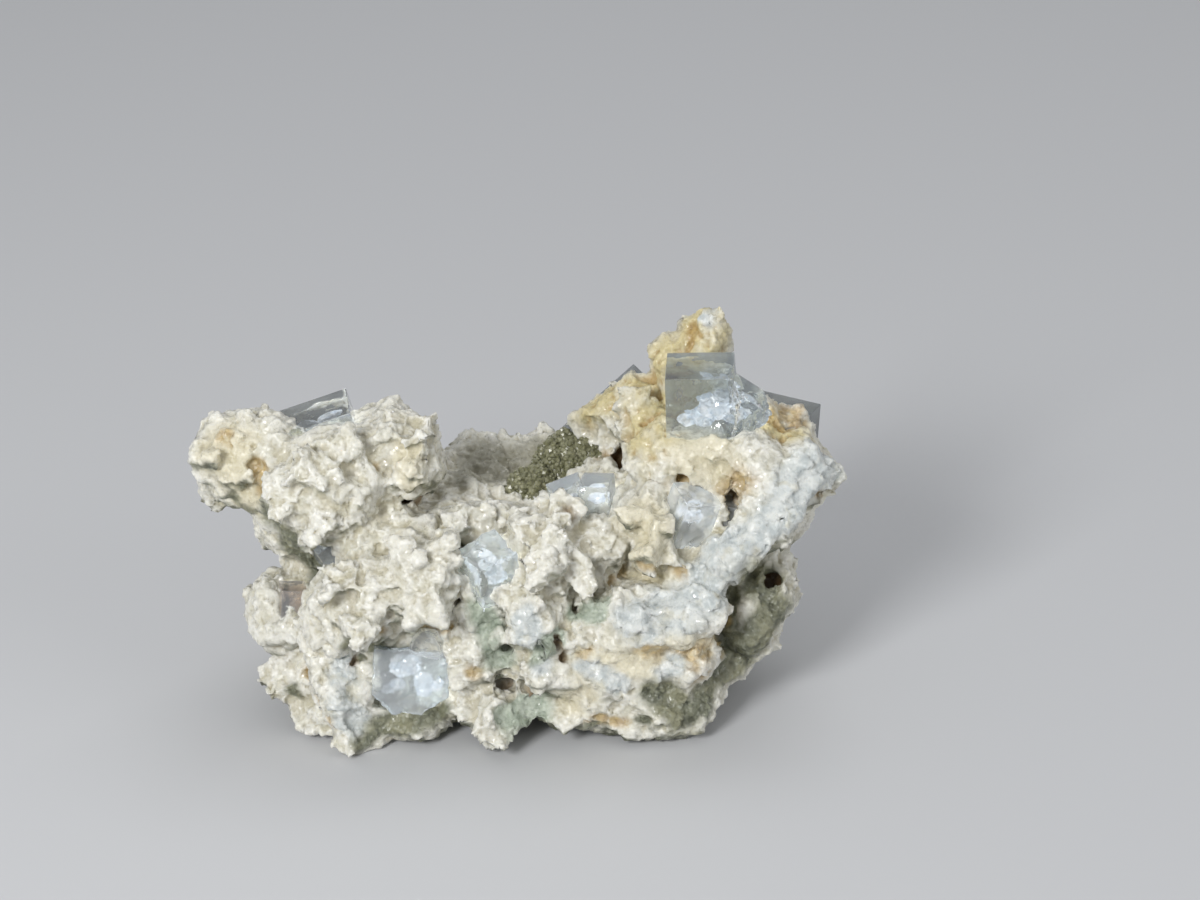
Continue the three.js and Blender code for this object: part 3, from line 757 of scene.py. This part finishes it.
def clear_fluorite(name, tint, density, roughness, clearness, waviness):
    """Clear fluorite: smooth cube faces with faint growth steps, and a tint that depth brings out."""
    material, tree, output = new_material(name)
    place = add_node(tree, "ShaderNodeTexCoord").outputs["Object"]
    links = {"Vector": place, "Scale": 1000 / GROWTH_STEP_MM, "Detail": 4.0}
    waves = add_node(tree, "ShaderNodeTexNoise", links)
    links = {"Strength": waviness, "Distance": 0.0004, "Height": waves.outputs["Fac"]}
    bump = add_node(tree, "ShaderNodeBump", links)
    shader = add_node(tree, "ShaderNodeBsdfPrincipled", {
        "Base Color": linear("e6ebee"),
        "Roughness": roughness,
        "IOR": FLUORITE_IOR,
        "Transmission Weight": clearness,
        "Normal": bump.outputs["Normal"],
    })
    depth = add_node(tree, "ShaderNodeVolumeAbsorption", {"Color": linear(tint), "Density": density})
    tree.links.new(shader.outputs["BSDF"], output.inputs["Surface"])
    tree.links.new(depth.outputs["Volume"], output.inputs["Volume"])
    return material


# A healed crack: fluorite grown shut round tiny bubbles, which look white and glitter.
healed_crack, tree, output = new_material("healed_crack_in_fluorite")
place = add_node(tree, "ShaderNodeTexCoord").outputs["Object"]
shader = add_node(tree, "ShaderNodeBsdfPrincipled", {
    "Base Color": layered(tree, place, "dfe9f4", [("ffffff", 1.0, [], [1.2])]),
    "Roughness": 0.15,
    "IOR": 1.6,
    "Transmission Weight": 0.35,
    "Normal": facet_bump(tree, place, 0.6, 0.8),
})
tree.links.new(shader.outputs["BSDF"], output.inputs["Surface"])

# Each crystal's tint, how fast depth brings it out, its roughness, clearness and waviness.
clear = clear_fluorite("clear_grey_blue_fluorite", "a6b1ba", 40.0, 0.03, 0.88, 0.1)
KINDS_OF_FLUORITE = {
    "fluorite_tower_cube": clear_fluorite("blue_grey_clear_fluorite", "8c9ea4", 125.0, 0.04, 0.86, 0.15),
    "fluorite_sunken_cube": clear_fluorite("pale_blue_fluorite", "9fbbc2", 62.0, 0.14, 0.68, 0.35),
    "fluorite_middle_crystal": clear_fluorite("pale_green_fluorite", "aac4be", 46.0, 0.1, 0.68, 0.3),
    "fluorite_ledge_pair": clear_fluorite("pale_clear_fluorite", "aab6c0", 40.0, 0.06, 0.78, 0.2),
    "fluorite_hollow_crystal": clear_fluorite("grey_clear_fluorite", "b9bdba", 40.0, 0.12, 0.68, 0.25),
    "fluorite_hollow_small": clear_fluorite("grey_small_fluorite", "b9bdba", 40.0, 0.12, 0.68, 0.25),
    "fluorite_knob_crystal": clear_fluorite("brownish_fluorite", "b98f58", 240.0, 0.08, 0.8, 0.3),
    "fluorite_shelf_crystal": clear_fluorite("smoky_fluorite", "b8b4a8", 80.0, 0.08, 0.82, 0.3),
    "fluorite_recess_crystal": clear_fluorite("blue_grey_fluorite", "8f9db2", 120.0, 0.08, 0.8, 0.3),
}
# Where a crystal is broken: places across, up and back, a radius in mm, and how rough it is.
BROKEN_FLUORITE = {
    "fluorite_tower_cube": ([
        ([(39.6, 55.6, -7), (43, 51.6, -6), (43.6, 47.6, -6)], 3.4),
        ([(35, 50, -9), (39, 49, -8)], 4.2),
    ], 0.5),
    "fluorite_sunken_cube": ([([(-21, 1, -26), (-21, 1, -20)], 9)], 0.3),
    "fluorite_middle_crystal": ([([(-6, 24, -25), (-6, 12, -25)], 5)], 0.5),
    "fluorite_ledge_pair": ([([(9, 35, -10), (14.6, 32, -10)], 2.6)], 0.3),
    "fluorite_hollow_crystal": ([([(31, 32, -17), (31, 27, -17)], 3.4)], 0.4),
}
# Healed cracks inside a crystal: the middle across, up and back, a radius in mm, and two leans.
CRACKS = {
    "fluorite_tower_cube": [
        (35.6, 50.6, -6, 2.8, 70, 15), (33, 49.4, -4, 2.8, 55, -25), (39.2, 50, -5, 2.6, 80, 35),
        (30.6, 48.6, -6, 1.9, 100, -10), (37, 52.8, -3.4, 2.3, 60, 50), (34.4, 52.6, -2, 2, 95, -40),
    ],
    "fluorite_crown_cube": [(-35, 46, -3, 2.4, 65, 20), (-38.6, 44.6, -4, 2.2, 80, -30)],
    "fluorite_sunken_cube": [
        (-22, 3, -21.6, 3.2, 75, 12), (-18, -0.6, -21, 2.8, 60, -20), (-24, -1, -21.4, 2.4, 95, 30),
    ],
    "fluorite_middle_crystal": [(-6, 20, -22.6, 2.4, 80, 25), (-7, 22, -21, 1.8, 60, -30)],
    "fluorite_ledge_pair": [(9, 33.6, -7.6, 1.6, 75, 30), (14, 34, -8.4, 1.6, 60, -20)],
    "fluorite_hollow_crystal": [(31, 31, -14.4, 2.1, 80, 10)],
    "fluorite_right_shoulder_cube": [(47, 45, 6, 2.4, 75, 20)],
}
# Corners broken off along a flat: a place on the break, across, up and back, and the way it faces.
BREAKS = {
    "fluorite_sunken_cube": [
        ((-26.6, -3.4, -26), (-0.8, -0.25, -0.7)), ((-16.6, -4.6, -26), (0.6, -0.3, -0.9)),
        ((-15.4, 4.2, -26), (0.9, -0.3, 0.5)),
    ],
    "fluorite_middle_crystal": [
        ((-5.6, 23.9, -25), (-0.36, -0.1, 0.9)), ((-9.4, 18, -26), (-0.9, -0.5, -0.2)),
    ],
    "fluorite_ledge_pair": [((7.2, 36, -9), (-0.5, -0.2, 0.9))],
    "fluorite_shelf_crystal": [
        ((-19.2, 8.4, -24), (-0.8, -0.3, 0.6)), ((-15.8, 8.6, -24), (0.7, -0.5, 0.5)),
    ],
    "fluorite_hollow_crystal": [
        ((29, 35.4, -15), (-0.6, -0.2, 0.8)), ((34.4, 27, -15), (0.9, -0.3, -0.3)),
    ],
}


def chipped(work, breaks):
    """Takes corners off a crystal, each along a flat break."""
    for place, facing in breaks:
        cut = bmesh.ops.bisect_plane(
            work, geom=work.verts[:] + work.edges[:] + work.faces[:],
            plane_co=seen(*place), plane_no=facing, clear_outer=True,
        )
        edges = [part for part in cut["geom_cut"] if isinstance(part, bmesh.types.BMEdge)]
        bmesh.ops.holes_fill(work, edges=edges, sides=0)


def roughened(work, places, roughness, salt):
    """Breaks a crystal's faces into small shell-shaped chips where it is broken."""
    bmesh.ops.triangulate(work, faces=work.faces)
    for _ in range(6):
        long_edges = [edge for edge in work.edges if edge.calc_length() > FLUORITE_MESH]
        if long_edges:
            bmesh.ops.subdivide_edges(work, edges=long_edges, cuts=1)
            bmesh.ops.triangulate(work, faces=[face for face in work.faces if len(face.verts) > 3])
    work.normal_update()
    points = np.array([vert.co[:] for vert in work.verts])
    spots = [([seen(*stop) for stop in stops], radius) for stops, radius in places]
    broken = near_spots(warped(points, 0.002, 0.001, 5), spots, 1.6)
    chips = facets(points, CONCHOIDAL, 100 + salt, roughness) - CHIP_DEPTH * roughness
    chips += facets(points, 0.45 * CONCHOIDAL, 200 + salt, 0.6 * roughness)
    for vert, chip in zip(work.verts, np.minimum(chips, 0.0001) * broken):
        vert.co += vert.normal * chip


def cracked(work, cracks, salt):
    """Adds healed cracks to a crystal: thin wrinkled sheets inside it, of their own material."""
    for k, (*middle, radius, pitch, yaw) in enumerate(cracks):
        made = bmesh.ops.create_icosphere(work, subdivisions=3, radius=1)["verts"]
        shape = np.array([vert.co[:] for vert in made])
        wrinkle = 0.16 * drift(shape, 0.45, salt + 7 * k) + 0.1 * drift(shape, 0.2, salt + 7 * k + 3)
        turn = Euler((math.radians(pitch), 0, math.radians(yaw))).to_matrix().to_4x4()
        place = Matrix.Translation(seen(*middle)) @ turn @ Matrix.Scale(radius * MM, 4)
        for vert, lift in zip(made, wrinkle):
            rim = 1 + 1.2 * lift
            across, along, through = vert.co
            vert.co = place @ Vector((across * rim, 0.7 * along * rim, CRACK_THICKNESS * through + lift))
        for face in {face for vert in made for face in vert.link_faces}:
            face.material_index = 1
            face.smooth = False


for salt, node in enumerate(sorted(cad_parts)):
    if not node.startswith("fluorite_"):
        continue
    crystal = merged_copy(node, node.replace("fluorite_", "clear_"))
    work = bmesh.new()
    work.from_mesh(crystal.data)
    bmesh.ops.dissolve_limit(work, angle_limit=math.radians(1), verts=work.verts, edges=work.edges)
    chipped(work, BREAKS.get(node, []))
    work.normal_update()
    for vert in work.verts:
        vert.co += vert.normal * ROOTED * vert.calc_shell_factor()
    bmesh.ops.bevel(
        work, geom=work.edges, offset=WORN_EDGE, segments=2, affect="EDGES", profile=0.5, clamp_overlap=True
    )
    if node in BROKEN_FLUORITE:
        roughened(work, *BROKEN_FLUORITE[node], salt)
    bmesh.ops.recalc_face_normals(work, faces=work.faces)
    for face in work.faces:
        face.smooth = True
    cracked(work, CRACKS.get(node, []), 300 + salt)
    work.to_mesh(crystal.data)
    work.free()
    crystal.data.set_sharp_from_angle(angle=math.radians(14))
    crystal.data.materials.append(KINDS_OF_FLUORITE.get(node, clear))
    crystal.data.materials.append(healed_crack)
    crystal.visible_shadow = False  # light passes through to the rock that it sits in
    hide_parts(node)
    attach(crystal, "root")

# The druse: a crust of tiny olive-green crystals, each about a millimetre wide, on the ledge
# beside the tower. They grew side by side out of a bed of the same stuff, glossy and sugary.
DRUSE_VOXEL = 0.0004
BED_SMOOTHING_ROUNDS = 6
DRUSE_SIZES = {
    "Spacing": ("NodeSocketFloat", 0.00065),
    "Density": ("NodeSocketFloat", 5.0e6),
    "Smallest": ("NodeSocketFloat", 0.0007),
    "Largest": ("NodeSocketFloat", 0.0015),
    "Tilt": ("NodeSocketFloat", 3.0),
    "Seed": ("NodeSocketInt", 9),
}

# Olive crystal: glassy and a little translucent, so that the grains glitter and stay dark between.
olive, tree, output = new_material("olive_druse_crystals")
place = add_node(tree, "ShaderNodeTexCoord").outputs["Object"]
shader = add_node(tree, "ShaderNodeBsdfPrincipled", {
    "Base Color": layered(tree, place, "68684c", [
        ("929177", 1.0, [], [1.4]),
        ("47462f", 1.0, [], [0.8, 0.5, 0.75]),
    ]),
    "Roughness": 0.3,
    "IOR": 1.6,
    "Subsurface Weight": 0.25,
    "Subsurface Radius": (0.9, 0.9, 0.5),
    "Subsurface Scale": 0.0008,
})
tree.links.new(shader.outputs["BSDF"], output.inputs["Surface"])

druse_bed = merged_copy("olive_druse", "olive_druse_bed")
remesh = druse_bed.modifiers.new("fine", "REMESH")
remesh.mode = "VOXEL"
remesh.voxel_size = DRUSE_VOXEL
apply_modifiers(druse_bed)
set_points(druse_bed.data, relaxed(druse_bed.data, BED_SMOOTHING_ROUNDS))
druse_bed.data.shade_smooth()
druse_bed.data.materials.append(olive)

work = bmesh.new()
bmesh.ops.create_icosphere(work, subdivisions=1, radius=0.5)
mesh = bpy.data.meshes.new("druse_grain")
work.to_mesh(mesh)
work.free()
druse_grain = bpy.data.objects.new("druse_grain", mesh)
bpy.context.collection.objects.link(druse_grain)

# The tree that grows them: it spreads places over the bed, and leans, spins and sizes a grain
# at each, by random numbers that hang on the place's own number and the seed.
tree = bpy.data.node_groups.new("druse_crystals", "GeometryNodeTree")
tree.interface.new_socket("Geometry", in_out="INPUT", socket_type="NodeSocketGeometry")
druse_inputs = {}
for label, (kind, value) in DRUSE_SIZES.items():
    socket = tree.interface.new_socket(label, in_out="INPUT", socket_type=kind)
    socket.default_value = value
    druse_inputs[socket.identifier] = value
tree.interface.new_socket("Geometry", in_out="OUTPUT", socket_type="NodeSocketGeometry")
source = add_node(tree, "NodeGroupInput")
spread = add_node(tree, "GeometryNodeDistributePointsOnFaces", {
    "Mesh": source.outputs["Geometry"],
    "Distance Min": source.outputs["Spacing"],
    "Density Max": source.outputs["Density"],
    "Seed": source.outputs["Seed"],
}, distribute_method="POISSON")
drawn = []
for salt, kind, first_input, output_index, low, high in (
    (1, "FLOAT_VECTOR", 0, 0, (-1, -1, 0), (1, 1, 0)),
    (2, "FLOAT", 2, 1, 0.0, 2 * math.pi),
    (4, "FLOAT", 2, 1, source.outputs["Smallest"], source.outputs["Largest"]),
):
    number = add_node(tree, "GeometryNodeInputID")
    own = add_node(tree, "ShaderNodeMath", {0: number.outputs[0], 1: salt * 37.7}, operation="ADD")
    links = {first_input: low, first_input + 1: high, "ID": own.outputs[0], "Seed": source.outputs["Seed"]}
    drawn.append(add_node(tree, "FunctionNodeRandomValue", links, data_type=kind).outputs[output_index])
lean_way, spin_turn, width = drawn
links = {0: lean_way, "Scale": source.outputs["Tilt"]}
lean = add_node(tree, "ShaderNodeVectorMath", links, operation="SCALE")
spin = add_node(tree, "ShaderNodeCombineXYZ", {"Z": spin_turn})
rotation = spread.outputs["Rotation"]
for angles in (lean, spin):
    turned = add_node(tree, "FunctionNodeEulerToRotation", {0: angles.outputs[0]})
    links = {"Rotation": rotation, "Rotate By": turned.outputs[0]}
    rotation = add_node(tree, "FunctionNodeRotateRotation", links, rotation_space="LOCAL").outputs[0]
grain = add_node(tree, "GeometryNodeObjectInfo", {"Object": druse_grain, "As Instance": True})
grown = add_node(tree, "GeometryNodeInstanceOnPoints", {
    "Points": spread.outputs["Points"],
    "Instance": grain.outputs["Geometry"],
    "Rotation": rotation,
    "Scale": width,
})
real = add_node(tree, "GeometryNodeRealizeInstances", {"Geometry": grown.outputs[0]})
dressed = add_node(tree, "GeometryNodeSetMaterial", {"Geometry": real.outputs[0], "Material": olive})
sink = add_node(tree, "NodeGroupOutput")
tree.links.new(dressed.outputs[0], sink.inputs[0])

druse_crystals = bpy.data.objects.new("olive_druse_crystals", druse_bed.data.copy())
bpy.context.collection.objects.link(druse_crystals)
growth = druse_crystals.modifiers.new("crystals", "NODES")
growth.node_group = tree
for identifier, value in druse_inputs.items():
    growth[identifier] = value
apply_modifiers(druse_crystals)
bpy.data.objects.remove(druse_grain)
for piece in (druse_bed, druse_crystals):
    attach(piece, "root")
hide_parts("olive_druse")
